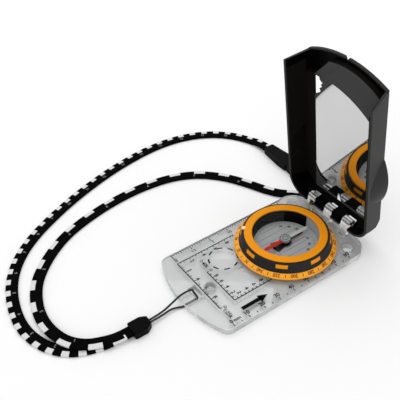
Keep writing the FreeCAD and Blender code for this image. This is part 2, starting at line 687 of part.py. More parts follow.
LOOP_ROUTE = [
    (-0.1, -91.4, 2.1), (0.0, -84.0, 2.3), (-1.2, -77.0, 3.4), (-2.3, -71.6, 4.3),
    (-3.0, -67.2, 4.32), (-2.7, -62.3, 4.3), (-2.4, -61.4, 0.95), (2.2, -61.4, 0.75),
    (2.4, -66.4, 0.72), (2.3, -70.6, 0.72), (1.1, -74.4, 1.2), (0.4, -78.4, 1.9),
    (1.5, -84.4, 2.1), (1.4, -91.4, 2.1),
]
loop_path = route_wire(LOOP_ROUTE)
loop_start = V(*LOOP_ROUTE[0])
loop_way = V(*LOOP_ROUTE[1]) - loop_start
loop_ring = Part.Wire(Part.Circle(loop_start, loop_way, D["loop_cord_radius"]).toShape())
loop_sweep = Part.BRepOffsetAPI.MakePipeShell(loop_path)
loop_sweep.setFrenetMode(False)
loop_sweep.add(loop_ring, False, False)
loop_sweep.build()
loop_sweep.makeSolid()
loop_solid = loop_sweep.shape()
print("loop length", round(loop_path.Length, 1), "volume ratio",
      round(loop_solid.Volume / (math.pi * D["loop_cord_radius"] ** 2 * loop_path.Length), 4))
plate_node(fixed_shape("loop_cord_shape", loop_solid), "loop_cord")


def rounded_block(points, bottom, top, radius):
    solid = Part.Face(wire_at(points, bottom)).extrude(V(0, 0, top - bottom))
    edges = [edge for edge in solid.Edges
             if abs(edge.Vertexes[0].Z - edge.Vertexes[-1].Z) > 0.1]
    return solid.makeFillet(radius, edges)


CONNECTOR = [(-3.7, -102.3), (5.5, -102.3), (5.5, -95.0), (3.2, -91.5), (-1.9, -91.5),
             (-3.7, -95.0)]
lower_shell = rounded_block(CONNECTOR, 0.0, 2.25, 1.0)
upper_shell = rounded_block(CONNECTOR, 2.27, 4.5, 1.0)
top_edges = [edge for edge in upper_shell.Edges
             if all(abs(vertex.Z - 4.5) < 1e-6 for vertex in edge.Vertexes)]
upper_shell = upper_shell.makeChamfer(0.6, top_edges)
plate_node(fixed_shape("connector_lower_shape", lower_shell), "connector_lower")
plate_node(fixed_shape("connector_upper_shape", upper_shell), "connector_upper")

SOCKET = [(-77.0, 47.4), (-62.0, 45.8), (-54.0, 45.8), (-54.0, 56.0), (-62.0, 56.0),
          (-77.0, 54.4)]
socket = rounded_block(SOCKET, 0.0, 4.5, 0.9)
socket_slot = Part.makeBox(5.0, 1.2, 1.6, V(-66.0, 45.0, 1.5))
socket = socket.cut(socket_slot)
plate_node(fixed_shape("socket_shape", socket), "clasp_socket")

PLUG = [(-53.9, 46.6), (-50.5, 46.0), (-40.0, 46.0), (-33.0, 47.4), (-33.0, 54.4),
        (-40.0, 55.8), (-50.5, 55.8), (-53.9, 55.2)]
plug = rounded_block(PLUG, 0.1, 4.4, 0.8)
plate_node(fixed_shape("plug_shape", plug), "clasp_plug")

# ---------------------------------------------------------------- write the parts
doc.recompute()
bad = []
for item in doc.Objects:
    if "Invalid" in item.State or "Error" in item.State:
        bad.append(item.Label)
os.makedirs("parts", exist_ok=True)
whole = FreeCAD.BoundBox()
cords = ("outer_webbing", "inner_webbing", "loop_cord", "connector_lower", "connector_upper",
         "clasp_socket", "clasp_plug")
for item in nodes:
    shape = item.Shape
    if shape.isNull() or not shape.isValid():
        bad.append(item.Label)
    shape.exportStep("parts/%s.step" % item.Label)
    print(item.Label, "solids", len(shape.Solids), "volume", round(shape.Volume, 2))
    if item.Label not in cords:
        whole.add(shape.BoundBox)
print("bad", bad)
print("size", whole)
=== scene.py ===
import math

import bmesh
import bpy
from mathutils import Matrix, Vector

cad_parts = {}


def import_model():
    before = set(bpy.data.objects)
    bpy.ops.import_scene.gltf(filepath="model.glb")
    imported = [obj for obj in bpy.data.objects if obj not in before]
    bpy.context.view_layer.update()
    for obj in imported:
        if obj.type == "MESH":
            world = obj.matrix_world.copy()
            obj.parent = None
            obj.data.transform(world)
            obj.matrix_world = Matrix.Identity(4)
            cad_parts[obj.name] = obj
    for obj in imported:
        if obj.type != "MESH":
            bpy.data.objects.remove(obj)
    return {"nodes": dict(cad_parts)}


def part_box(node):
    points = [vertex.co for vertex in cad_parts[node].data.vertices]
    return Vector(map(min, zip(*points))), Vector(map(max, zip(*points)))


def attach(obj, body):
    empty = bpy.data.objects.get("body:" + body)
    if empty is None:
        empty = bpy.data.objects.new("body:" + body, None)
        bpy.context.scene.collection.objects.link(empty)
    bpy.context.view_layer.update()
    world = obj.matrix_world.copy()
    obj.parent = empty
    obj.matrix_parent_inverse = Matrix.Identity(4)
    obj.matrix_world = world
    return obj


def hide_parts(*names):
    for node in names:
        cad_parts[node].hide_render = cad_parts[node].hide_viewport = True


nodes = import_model()["nodes"]
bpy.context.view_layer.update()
MM = 0.001
# the cover stands this far from shut when at rest
COVER_OPEN = math.radians(83.3)
# the sloping face of the skirt runs between these radii, from this height up, millimetres
SLOPE_OUTER = 28.6
SLOPE_INNER = 26.5
SLOPE_LOW = 5.3
# the skirt's underside stands this far over the plate
SKIRT_GAP = 0.42 * MM


def middle(node):
    """Centre of a CAD node's box, metres."""
    low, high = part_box(node)
    return [(a + b) / 2 for a, b in zip(low, high)]


DIAL_Y = middle("capsule_lid")[1]
PLATE_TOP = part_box("graduated_skirt")[0][2] - SKIRT_GAP
SKIRT_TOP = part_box("graduated_skirt")[1][2]
FLOOR_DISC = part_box("capsule_floor_disc")[1][2]
HINGE = middle("hinge_pin")


def place(x, y, z):
    """Point given in millimetres from the dial centre, as metres in the frame."""
    return Vector((x * MM, y * MM + DIAL_Y, z * MM))


# ---------------------------------------------------------------- camera
# lens and sensor width in millimetres, distance to the point looked at in metres
LENS = 62.4474
SENSOR = 36
REACH = 0.42358


def add_camera():
    """Look down at the compass from beside its lanyard end, a little rolled."""
    turn = math.radians(56.59)
    rise = math.radians(40.73)
    roll = math.radians(-2.52)
    ahead = Vector((-math.sin(turn) * math.cos(rise), math.cos(turn) * math.cos(rise),
                    -math.sin(rise)))
    right = Vector((math.cos(turn), math.sin(turn), 0))
    up = right.cross(ahead)
    side = right * math.cos(roll) + up * math.sin(roll)
    top = up * math.cos(roll) - right * math.sin(roll)
    spot = place(-58.92, -17.64, 5.0) - ahead * REACH
    turned = Matrix((side, top, -ahead)).transposed().to_4x4()
    data = bpy.data.cameras.new("camera")
    data.sensor_width = SENSOR
    data.lens = LENS
    data.clip_start = 0.01
    item = bpy.data.objects.new("camera", data)
    item.matrix_world = Matrix.Translation(spot) @ turned
    bpy.context.scene.collection.objects.link(item)
    bpy.context.scene.camera = item


add_camera()


# ---------------------------------------------------------------- node helpers
def new_material(name):
    """Material with its node tree, its Principled node and its output node."""
    item = bpy.data.materials.new(name)
    item.use_nodes = True
    tree = item.node_tree
    return item, tree, tree.nodes["Principled BSDF"], tree.nodes["Material Output"]


def add(tree, kind, **values):
    node = tree.nodes.new(kind)
    for key, value in values.items():
        setattr(node, key, value)
    return node


def noise(tree, scale, detail=3.0, rough=0.5):
    """Noise over the object's own coordinates, 0..1."""
    where = add(tree, "ShaderNodeTexCoord")
    node = add(tree, "ShaderNodeTexNoise")
    node.inputs["Scale"].default_value = scale
    node.inputs["Detail"].default_value = detail
    node.inputs["Roughness"].default_value = rough
    tree.links.new(where.outputs["Object"], node.inputs["Vector"])
    return node.outputs["Fac"]


def ramp(tree, source, low, high):
    """Map 0..1 to a colour or value range."""
    node = add(tree, "ShaderNodeValToRGB")
    node.color_ramp.elements[0].color = low
    node.color_ramp.elements[1].color = high
    node.color_ramp.elements[0].position = 0.3
    node.color_ramp.elements[1].position = 0.7
    tree.links.new(source, node.inputs["Fac"])
    return node.outputs["Color"]


def level(tree, source, low, high):
    """Map 0..1 to low..high."""
    node = add(tree, "ShaderNodeMapRange")
    node.inputs["To Min"].default_value = low
    node.inputs["To Max"].default_value = high
    tree.links.new(source, node.inputs["Value"])
    return node.outputs["Result"]


def maths(tree, operation, first, second=None):
    """One maths node; each operand is a number or a socket."""
    node = add(tree, "ShaderNodeMath", operation=operation)
    for slot, value in enumerate((first, second)):
        if value is None:
            continue
        if isinstance(value, (int, float)):
            node.inputs[slot].default_value = value
        else:
            tree.links.new(value, node.inputs[slot])
    return node.outputs["Value"]


def bump(tree, shader, source, strength, distance):
    node = add(tree, "ShaderNodeBump")
    node.inputs["Strength"].default_value = strength
    node.inputs["Distance"].default_value = distance
    tree.links.new(source, node.inputs["Height"])
    tree.links.new(node.outputs["Normal"], shader.inputs["Normal"])


def split(tree, socket):
    """X, Y and Z of a vector socket."""
    node = add(tree, "ShaderNodeSeparateXYZ")
    tree.links.new(socket, node.inputs["Vector"])
    return node.outputs["X"], node.outputs["Y"], node.outputs["Z"]


def own_place(tree):
    """X, Y and Z in the object's own coordinates, metres."""
    return split(tree, add(tree, "ShaderNodeTexCoord").outputs["Object"])


def blend_shaders(tree, share, first, second, output):
    """Send a mix of two shader nodes to the output; share is the second's part."""
    mix = add(tree, "ShaderNodeMixShader")
    tree.links.new(share, mix.inputs["Fac"])
    tree.links.new(first.outputs["BSDF"], mix.inputs[1])
    tree.links.new(second.outputs["BSDF"], mix.inputs[2])
    tree.links.new(mix.outputs["Shader"], output.inputs["Surface"])


def two_colours(tree, share, first, second, shade):
    """First colour where share is 0, second where it is 1, multiplied by shade."""
    blend = add(tree, "ShaderNodeMixRGB")
    blend.inputs["Color1"].default_value = (*first, 1)
    blend.inputs["Color2"].default_value = (*second, 1)
    tree.links.new(share, blend.inputs["Fac"])
    product = add(tree, "ShaderNodeMixRGB", blend_type="MULTIPLY")
    product.inputs["Fac"].default_value = 1.0
    tree.links.new(blend.outputs["Color"], product.inputs["Color1"])
    tree.links.new(shade, product.inputs["Color2"])
    return product.outputs["Color"]


def plastic(name, colour, rough, grain=900.0, depth=0.00002, vary=0.12, metallic=0.0, shine=0.5,
            ior=1.45):
    """Moulded plastic, rubber or metal with a fine grain and slight colour variation."""
    item, tree, shader, output = new_material(name)
    dark = [c * (1 - vary) for c in colour] + [1]
    light = [min(1, c * (1 + vary)) for c in colour] + [1]
    broad = noise(tree, 60.0, 4.0)
    tree.links.new(ramp(tree, broad, dark, light), shader.inputs["Base Color"])
    fine = noise(tree, grain, 4.0, 0.6)
    tree.links.new(level(tree, fine, rough * 0.85, min(1, rough * 1.2)),
                   shader.inputs["Roughness"])
    shader.inputs["Metallic"].default_value = metallic
    shader.inputs["Specular IOR Level"].default_value = shine
    shader.inputs["IOR"].default_value = ior
    if depth > 0:
        bump(tree, shader, fine, 0.5, depth)
    return item


def clear(name, tint, ior, rough, shade=0.85, edge=(0.3, 0.75), edge_top=0.0040):
    """Clear solid plastic; lamps pass through it.

    Upright faces below edge_top metres scatter a share of light between the two edge values.
    """
    item, tree, shader, output = new_material(name)
    shader.inputs["Base Color"].default_value = (*tint, 1)
    shader.inputs["Transmission Weight"].default_value = 1.0
    shader.inputs["IOR"].default_value = ior
    fine = noise(tree, 220.0, 2.0)
    tree.links.new(level(tree, fine, rough, rough * 2.2), shader.inputs["Roughness"])
    through = add(tree, "ShaderNodeBsdfTransparent")
    through.inputs["Color"].default_value = (*[c * shade for c in tint], 1)
    path = add(tree, "ShaderNodeLightPath")
    facing = split(tree, add(tree, "ShaderNodeNewGeometry").outputs["Normal"])[2]
    height = own_place(tree)[2]
    upright = maths(tree, "LESS_THAN", maths(tree, "ABSOLUTE", facing), 0.5)
    upright = maths(tree, "MULTIPLY", upright, maths(tree, "LESS_THAN", height, edge_top))
    streak = noise(tree, 160.0, 2.0)
    amount = maths(tree, "MULTIPLY", upright, level(tree, streak, edge[0], edge[1]))
    clear_part = maths(tree, "SUBTRACT", 1.0, amount)
    tree.links.new(clear_part, shader.inputs["Transmission Weight"])
    blend_shaders(tree, path.outputs["Is Shadow Ray"], shader, through, output)
    return item


def pane(name, tint, rough=0.02, least=0.03, most=0.7):
    """Thin clear wall: what is behind it is not bent."""
    item, tree, shader, output = new_material(name)
    tree.nodes.remove(shader)
    gloss = add(tree, "ShaderNodeBsdfGlossy")
    gloss.inputs["Color"].default_value = (0.95, 0.95, 0.95, 1)
    fine = noise(tree, 300.0, 2.0)
    tree.links.new(level(tree, fine, rough, rough * 2), gloss.inputs["Roughness"])
    through = add(tree, "ShaderNodeBsdfTransparent")
    through.inputs["Color"].default_value = (*tint, 1)
    turned = add(tree, "ShaderNodeLayerWeight")
    steep = maths(tree, "POWER", turned.outputs["Facing"], 5.0)
    share = level(tree, steep, least, most)
    blend_shaders(tree, share, through, gloss, output)
    return item


def part_of_cover(tree):
    """Places on the cover, metres: signed and plain distance across, along, and depth."""
    side, y, z = own_place(tree)
    across = maths(tree, "ABSOLUTE", side)
    behind = maths(tree, "SUBTRACT", y, HINGE[1])
    above = maths(tree, "SUBTRACT", z, HINGE[2])
    lean = math.pi - COVER_OPEN
    along = maths(tree, "ADD", maths(tree, "MULTIPLY", behind, math.cos(lean)),
                  maths(tree, "MULTIPLY", above, math.sin(lean)))
    depth = maths(tree, "ADD", maths(tree, "MULTIPLY", behind, -math.sin(lean)),
                  maths(tree, "MULTIPLY", above, math.cos(lean)))
    return side, across, along, depth


def two_tone(name, inner, outer, rough, shade_mask_of):
    """Satin moulding with painted shade: its inner faces, where shade falls, are coloured darker
    than its outer ones.
    """
    item, tree, shader, output = new_material(name)
    side, across, along, depth = part_of_cover(tree)
    shade_share = shade_mask_of(tree, side, across, along, depth)
    fine = noise(tree, 1600.0, 4.0, 0.6)
    # the inner colour is painted shade where the mask is 1; the outer colour is the moulding's
    # own
    colour = two_colours(tree, shade_share, outer, inner, level(tree, fine, 0.86, 1.12))
    tree.links.new(colour, shader.inputs["Base Color"])
    tree.links.new(level(tree, fine, rough * 0.85, rough * 1.15), shader.inputs["Roughness"])
    shader.inputs["IOR"].default_value = 1.1
    bump(tree, shader, fine, 0.4, 0.00001)
    return item


def shell_inside(tree, side, across, along, depth):
    """Painted shade: 1 on the cover's inner floor and inner walls, where shade falls, 0 on its
    outer faces and rim.
    """
    # the side walls lean outward from the back, and the far end is bowed
    outer_face = maths(tree, "ADD", 0.0273,
                       maths(tree, "MULTIPLY", 0.29, maths(tree, "ADD", depth, 0.011)))
    in_walls = maths(tree, "LESS_THAN", across, maths(tree, "SUBTRACT", outer_face, 0.0008))
    bow = maths(tree, "SUBTRACT", 0.0993,
                maths(tree, "MULTIPLY", 8.56, maths(tree, "MULTIPLY", across, across)))
    in_end = maths(tree, "LESS_THAN", along, maths(tree, "SUBTRACT", bow, 0.0009))
    over_floor = maths(tree, "GREATER_THAN", depth, -0.0103)
    under_rim = maths(tree, "LESS_THAN", depth, 0.0041)
    both = maths(tree, "MULTIPLY", in_walls, in_end)
    return maths(tree, "MULTIPLY", both, maths(tree, "MULTIPLY", over_floor, under_rim))


def carrier_dark(tree, side, across, along, depth):
    """Painted shade: 1 on the liner, the strip beside the mirror and the platform's ends, where
    shade falls, 0 on its face.
    """
    strip = maths(tree, "LESS_THAN", side, -0.0189)
    liner = maths(tree, "GREATER_THAN", across, 0.0268)
    ends = maths(tree, "LESS_THAN", depth, -0.0062)
    return maths(tree, "MAXIMUM", maths(tree, "MAXIMUM", strip, liner), ends)


WEAVE_PITCH = 9000.0


def webbing_material(name, period, share, inked):
    """Black woven tape; its left half carries light blocks printed at even distances.

    The blocks repeat every period metres, fill a share of it, and start inked metres along.
    """
    item, tree, shader, output = new_material(name)
    where = add(tree, "ShaderNodeUVMap", uv_map="along")
    along, across, _ = split(tree, where.outputs["UV"])
    cell = maths(tree, "FRACT", maths(tree, "DIVIDE", along, period))
    block = maths(tree, "LESS_THAN", cell, share)
    outer = maths(tree, "GREATER_THAN", across, 0.0006)
    light = maths(tree, "MULTIPLY", block, outer)
    started = maths(tree, "GREATER_THAN", along, inked)
    light = maths(tree, "MULTIPLY", light, started)
    # small open frame printed beside the connector
    near = maths(tree, "MULTIPLY", maths(tree, "GREATER_THAN", along, 0.0040),
                 maths(tree, "LESS_THAN", along, 0.0108))
    hollow = maths(tree, "MULTIPLY", maths(tree, "GREATER_THAN", along, 0.0048),
                   maths(tree, "LESS_THAN", along, 0.0120))
    inside = maths(tree, "MULTIPLY", hollow, maths(tree, "LESS_THAN", across, 0.0026))
    frame_mark = maths(tree, "MULTIPLY", maths(tree, "MULTIPLY", near, outer),
                       maths(tree, "SUBTRACT", 1.0, inside))
    light = maths(tree, "MAXIMUM", light, frame_mark)
    # diagonal weave
    waves = []
    for operation in ("ADD", "SUBTRACT"):
        slant = maths(tree, operation, along, across)
        waves.append(maths(tree, "SINE", maths(tree, "MULTIPLY", slant, WEAVE_PITCH)))
    weave = maths(tree, "MULTIPLY", *waves)
    fuzz = noise(tree, 1500.0, 3.0)
    height = maths(tree, "ADD", maths(tree, "MULTIPLY", weave, 0.5), fuzz)
    shader.inputs["IOR"].default_value = 1.08
    colour = two_colours(tree, light, (0.0022, 0.0022, 0.0026), (0.74, 0.74, 0.73),
                         level(tree, height, 0.75, 1.1))
    tree.links.new(colour, shader.inputs["Base Color"])
    tree.links.new(level(tree, fuzz, 0.6, 0.9), shader.inputs["Roughness"])
    bump(tree, shader, height, 0.6, 0.00008)
    return item


# ---------------------------------------------------------------- cords
OUTER_ROUTE = [
    (-0.4, -102.32, 0.8), (-0.4, -109.5, 0.8), (-1.4, -119.5, 0.8), (-6.4, -132.9, 0.8),
    (-18.8, -142.8, 0.8), (-37.0, -146.9, 0.8), (-60.2, -142.2, 0.8), (-78.6, -132.0, 0.8),
    (-93.2, -116.0, 0.8), (-104.6, -94.8, 0.8), (-112.8, -75.2, 0.8), (-119.6, -54.6, 0.8),
    (-124.4, -34.2, 0.8), (-127.2, -11.6, 0.8), (-125.6, 9.4, 0.8), (-118.6, 27.6, 0.8),
    (-106.0, 41.8, 0.8), (-92.4, 48.8, 0.8), (-84.4, 50.9, 2.2), (-77.02, 50.9, 2.2),
]
INNER_ROUTE = [
    (0.9, -102.32, 2.55), (0.9, -109.6, 2.55), (-1.3, -117.0, 2.55), (-5.0, -125.2, 2.5),
    (-12.4, -132.0, 2.45), (-22.4, -135.4, 2.4), (-34.0, -135.9, 1.3), (-46.0, -133.5, 0.8),
    (-60.4, -127.0, 0.8), (-73.6, -114.0, 0.8), (-84.2, -98.0, 0.8), (-90.6, -79.0, 0.8),
    (-94.6, -58.0, 0.8), (-95.4, -38.0, 0.8), (-92.6, -17.8, 0.8), (-85.0, -1.8, 0.8),
    (-72.0, 10.6, 0.8), (-58.0, 18.2, 0.8), (-45.4, 23.6, 0.8), (-37.4, 28.6, 0.8),
    (-32.0, 35.2, 0.8), (-26.0, 39.4, 0.8), (-19.2, 40.0, 0.8), (-15.2, 46.8, 0.8),
    (-19.2, 52.8, 0.8), (-26.6, 50.9, 2.2), (-32.98, 50.9, 2.2),
]
LOOP_ROUTE = [
    (-0.1, -91.4, 2.1), (0.0, -84.0, 2.3), (-1.2, -77.0, 3.4), (-2.3, -71.6, 4.3),
    (-3.0, -67.2, 4.32), (-2.7, -62.3, 4.3), (-2.4, -61.4, 0.95), (2.2, -61.4, 0.75),
    (2.4, -66.4, 0.72), (2.3, -70.6, 0.72), (1.1, -74.4, 1.2), (0.4, -78.4, 1.9),
    (1.5, -84.4, 2.1), (1.4, -91.4, 2.1),
]
WEBBING_WIDTH = 0.0068
WEBBING_THICK = 0.0015
LOOP_RADIUS = 0.00055


def spline_object(name, route, bevel=0.0):
    """NURBS curve along a route; bevel is its radius in metres."""
    data = bpy.data.curves.new(name, "CURVE")
    data.dimensions = "3D"
    data.resolution_u = 12
    data.bevel_depth = bevel
    data.bevel_resolution = 5
    data.use_fill_caps = bevel > 0
    line = data.splines.new("NURBS")
    line.points.add(len(route) - 1)
    for point, spot in zip(line.points, route):
        point.co = (*place(*spot), 1)
    line.order_u = 3
    line.use_endpoint_u = True
    item = bpy.data.objects.new(name, data)
    bpy.context.scene.collection.objects.link(item)
    return item


def line_points(name, route):
    """Points of the route's own smooth spline."""
    item = spline_object(name, route)
    bpy.context.view_layer.update()
    mesh = bpy.data.meshes.new_from_object(item)
    points = [vertex.co.copy() for vertex in mesh.vertices]
    bpy.data.objects.remove(item)
    bpy.data.meshes.remove(mesh)
    return points


def new_object(name, mesh, material=None):
    item = bpy.data.objects.new(name, mesh)
    bpy.context.scene.collection.objects.link(item)
    if material:
        mesh.materials.append(material)
    return item


AROUND = 20


def tape(name, route, material):
    """Flat woven tape along a route, level across, with UVs along and across.

    Gives the object, its centre line, its length and the distance to each point.
    """
    points = line_points(name + "_line", route)
    build = bmesh.new()
    uv = build.loops.layers.uv.new("along")
    rings = []
    travelled = 0.0
    lengths = []
    for index, point in enumerate(points):
        before = points[max(index - 1, 0)]
        after = points[min(index + 1, len(points) - 1)]
        ahead = (after - before).normalized()
        side = Vector((0, 0, 1)).cross(ahead).normalized()
        up = ahead.cross(side)
        if index:
            travelled += (point - before).length
        lengths.append(travelled)
        ring = []
        for step in range(AROUND):
            angle = 2 * math.pi * step / AROUND
            c, s = math.cos(angle), math.sin(angle)
            wide = WEBBING_WIDTH / 2 * math.copysign(abs(c) ** 0.32, c)
            tall = WEBBING_THICK / 2 * math.copysign(abs(s) ** 0.55, s)
            ring.append((build.verts.new(point + side * wide + up * tall), wide))
        rings.append(ring)
    for index in range(len(rings) - 1):
        for step in range(AROUND):
            beyond = (step + 1) % AROUND
            corners = [(rings[index][step], lengths[index]),
                       (rings[index][beyond], lengths[index]),
                       (rings[index + 1][beyond], lengths[index + 1]),
                       (rings[index + 1][step], lengths[index + 1])]
            face = build.faces.new([corner[0][0] for corner in corners])
            for loop, corner in zip(face.loops, corners):
                loop[uv].uv = (corner[1], corner[0][1])
    build.faces.new([vertex for vertex, wide in reversed(rings[0])])
    build.faces.new([vertex for vertex, wide in rings[-1]])
    bmesh.ops.recalc_face_normals(build, faces=build.faces)
    mesh = bpy.data.meshes.new(name)
    build.to_mesh(mesh)
    build.free()
    for face in mesh.polygons:
        face.use_smooth = True
    return new_object(name, mesh, material), points, travelled, lengths


outer_tape, outer_line, outer_length, outer_steps = tape(
    "lanyard_tape_outer", OUTER_ROUTE, webbing_material("tape_outer_weave", 0.0080, 0.46, 0.014))
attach(outer_tape, "plate")
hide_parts("outer_webbing")

inner_tape, inner_line, inner_length, inner_steps = tape(
    "lanyard_tape_inner", INNER_ROUTE, webbing_material("tape_inner_weave", 0.0156, 0.44, 0.014))
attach(inner_tape, "plate")
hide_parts("inner_webbing")

loop_material = plastic("loop_cord_braid", (0.012, 0.012, 0.014), 0.45, grain=2600.0,
                        depth=0.00006, vary=0.5, shine=0.4)
loop_cord = spline_object("lanyard_loop_cord", LOOP_ROUTE, LOOP_RADIUS)
loop_cord.data.materials.append(loop_material)
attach(loop_cord, "plate")
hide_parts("loop_cord")

loop_line = line_points("loop_measure", LOOP_ROUTE)


# ---------------------------------------------------------------- materials of the CAD nodes
def grey(value):
    return (value, value, value)


def buckle(name, rough):
    """Glossy black moulding of the lanyard's fittings."""
    return plastic(name, grey(0.0025), rough, grain=1400.0, vary=0.2, ior=1.12)


MATERIALS = {
    "baseplate": clear("acrylic_clear", (0.91, 0.915, 0.915), 1.49, 0.01, shade=0.5),
    "silicone_feet": pane("silicone_clear", (0.93, 0.94, 0.94), 0.12, 0.05, 0.5),
    "dial_friction_ring": plastic("felt_black", grey(0.01), 0.9, grain=1500.0, depth=0.0001),
    "capsule_cup": clear("capsule_wall_clear", (0.62, 0.63, 0.65), 1.05, 0.02,
                         edge=(0.55, 0.7), edge_top=0.02),
    "capsule_lid": pane("capsule_lid_clear", (0.95, 0.96, 0.96), 0.004, 0.006, 0.5),
    "capsule_floor_disc": plastic("floor_print_base", grey(0.5), 0.45, grain=800.0,
                                  depth=0.00001, vary=0.05),
    "clinometer_band": plastic("band_black", grey(0.004), 0.7, depth=0.0, vary=0.2, ior=1.05),
    "dial_retaining_ring": plastic("ring_black", grey(0.008), 0.45),
    "graduated_skirt": plastic("orange_translucent", (0.97, 0.39, 0.02), 0.3, depth=0.00001,
                               vary=0.05, shine=0.3),
    "grip_ring": plastic("rubber_black", (0.01, 0.01, 0.011), 0.5, grain=1400.0,
                         depth=0.00003, vary=0.15, shine=0.3),
    "dial_top_ring": plastic("orange_satin", (0.86, 0.30, 0.002), 0.45, grain=1100.0,
                             depth=0.00001, vary=0.035, shine=0.16),
    "luminous_dot": plastic("luminous_cream", (0.78, 0.74, 0.46), 0.5, grain=1800.0),
    "pivot_pin": plastic("pivot_steel", grey(0.5), 0.25, depth=0.0, vary=0.1, metallic=1.0),
    "needle_hub": plastic("hub_grey", (0.36, 0.365, 0.36), 0.3, depth=0.0, vary=0.05),
    "needle_red_half": plastic("needle_red_paint", (0.62, 0.02, 0.008), 0.5, grain=1500.0,
                               depth=0.0, vary=0.08, shine=0.15),
    "needle_white_half": plastic("needle_white_paint", (0.6, 0.59, 0.56), 0.5, grain=1500.0,
                                 depth=0.0, vary=0.06, shine=0.15),
    "needle_magnet": plastic("magnet_steel", (0.2, 0.2, 0.21), 0.4, vary=0.2, metallic=1.0),
    "clinometer_pendulum": plastic("pendulum_black", grey(0.008), 0.35),
    "hinge_pin": plastic("pin_steel", grey(0.55), 0.25, depth=0.0, vary=0.1, metallic=1.0),
    # the cover's inner floor and walls get painted shade: a darker colour where shade falls in
    # the hollow
    "mirror_cover": two_tone("cover_black_painted_shade", grey(0.0008), grey(0.034), 0.34, shell_inside),
    # the carrier's liner, the strip beside the mirror and the platform's ends get painted shade
    "mirror_carrier": two_tone("carrier_grey", (0.0055, 0.0048, 0.004), grey(0.052), 0.6,
                               carrier_dark),
    "mirror_plate": plastic("mirror_silver", grey(0.62), 0.02, grain=40.0, depth=0.0,
                            vary=0.01, metallic=1.0),
    "connector_lower": buckle("buckle_black_low", 0.3),
    "connector_upper": buckle("buckle_black_top", 0.3),
    "clasp_socket": buckle("clasp_black", 0.35),
    "clasp_plug": buckle("clasp_plug_black", 0.35),
}
for name, material in MATERIALS.items():
    item = nodes[name]
    if not item.material_slots:
        item.data.materials.append(material)
    for entry in item.material_slots:
        entry.material = material

# ---------------------------------------------------------------- printing
INK = plastic("ink_black", grey(0.004), 0.6, grain=2000.0, depth=0.0, vary=0.2, ior=1.1)
INK_DIAL = plastic("ink_brown", (0.2, 0.045, 0.002), 0.5, grain=2000.0, depth=0.0, vary=0.2,
                   shine=0.2)
INK_RED = plastic("ink_red", (0.5, 0.02, 0.012), 0.5, grain=2000.0, depth=0.0, vary=0.1)
INK_LIGHT = plastic("ink_light", (0.2, 0.2, 0.195), 0.7, grain=2000.0, depth=0.0, vary=0.15,
                    shine=0.1)
# printed layers stand this far off their surface, millimetres
INK_LIFT = 0.02


def print_object(name, build, material, body):
    """Turn a finished bmesh into a printed layer that rides a body."""
    mesh = bpy.data.meshes.new(name)
    build.to_mesh(mesh)
    build.free()
    item = new_object(name, mesh, material)
    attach(item, body)


def print_mesh(name, material, body, marks):
    """One thin printed layer: each mark is a list of points, filled as one face."""
    build = bmesh.new()
    for mark in marks:
        build.faces.new([build.verts.new(point) for point in mark])
    print_object(name, build, material, body)


def print_letters(name, material, body, store):
    """One printed layer from all the lettering kept in store."""
    build = bmesh.new()
    for mesh in store:
        build.from_mesh(mesh)
        bpy.data.meshes.remove(mesh)
    print_object(name, build, material, body)


def bar(x0, y0, x1, y1, width, z):
    """Straight printed line, as the corners of a thin quad."""
    start = Vector((x0, y0, 0))
    end = Vector((x1, y1, 0))
    side = Vector((0, 0, 1)).cross((end - start).normalized()) * width / 2
    return [place(p.x, p.y, z) for p in (start - side, end - side, end + side, start + side)]


def arc_marks(x, y, z, inner_r, outer_r, start, step, count, overlap=0.0):
    """Printed arc about a point, in short pieces; angles in degrees."""
    pieces = []
    for number in range(count):
        a = math.radians(start + step * number)
        b = math.radians(start + step * (number + 1) + overlap)
        pieces.append([place(x + r * math.cos(t), y + r * math.sin(t), z)
                       for r, t in ((inner_r, a), (inner_r, b), (outer_r, b), (outer_r, a))])
    return pieces


def circle_marks(inner_r, outer_r, z):
    """Printed circle about the dial's centre."""
    return arc_marks(0, 0, z, inner_r, outer_r, 0, 15, 24)


def lettering(text, size, matrix, store):
    """Outline of a number as filled faces, placed by a matrix, kept in store."""
    data = bpy.data.curves.new("label", "FONT")
    data.body = text
    data.size = size
    data.align_x = "CENTER"
    data.align_y = "CENTER"
    data.offset = 0.03 * size
    item = bpy.data.objects.new("label", data)
    bpy.context.scene.collection.objects.link(item)
    bpy.context.view_layer.update()
    mesh = bpy.data.meshes.new_from_object(item)
    mesh.transform(matrix)
    store.append(mesh)
    bpy.data.objects.remove(item)
    bpy.data.curves.remove(data)


def flat_label(text, size, x, y, z, turn, store):
    """Level lettering; size and place in millimetres, turn in degrees."""
    matrix = Matrix.Translation(place(x, y, z)) @ Matrix.Rotation(math.radians(turn), 4, "Z")
    lettering(text, size * MM, matrix, store)


top = PLATE_TOP / MM + INK_LIFT
marks = []
labels = []
TICK = 0.5

# millimetre scale on the right edge, a mark every 5 mm from the lanyard end
for number in range(17):
    y = -58.7 + 5 * number
    numbered = number % 2 == 0
    marks.append(bar(30.5, y, 28.7 if numbered else 29.3, y, TICK, top))
    if numbered and number:
        flat_label(str(5 * number), 3.3, 27.2, y, top, 90, labels)
flat_label("0", 3.3, 27.2, -58.5, top, 90, labels)
flat_label("mm", 2.8, 27.3, -55.0, top, 90, labels)


def inch_reach(number):
    """Length of a mark on the inch scale, longer at halves and quarters."""
    for every, reach in ((16, 3.4), (8, 2.4), (4, 1.8)):
        if number % every == 0:
            return reach
    return 1.2


# inch scale on the left edge, a mark every sixteenth
for number in range(50):
    y = -57.6 + 25.4 / 16 * number
    marks.append(bar(-30.5, y, -30.5 + inch_reach(number), y, TICK, top))
    if number % 16 == 0:
        flat_label(str(number // 16), 3.2, -25.7, y + 0.4, top, 90, labels)
    elif number % 8 == 0:
        flat_label("1/2", 2.3, -26.3, y, top, 90, labels)
marks.append(bar(-30.6, -57.7, -30.6, 21.0, 0.26, top))

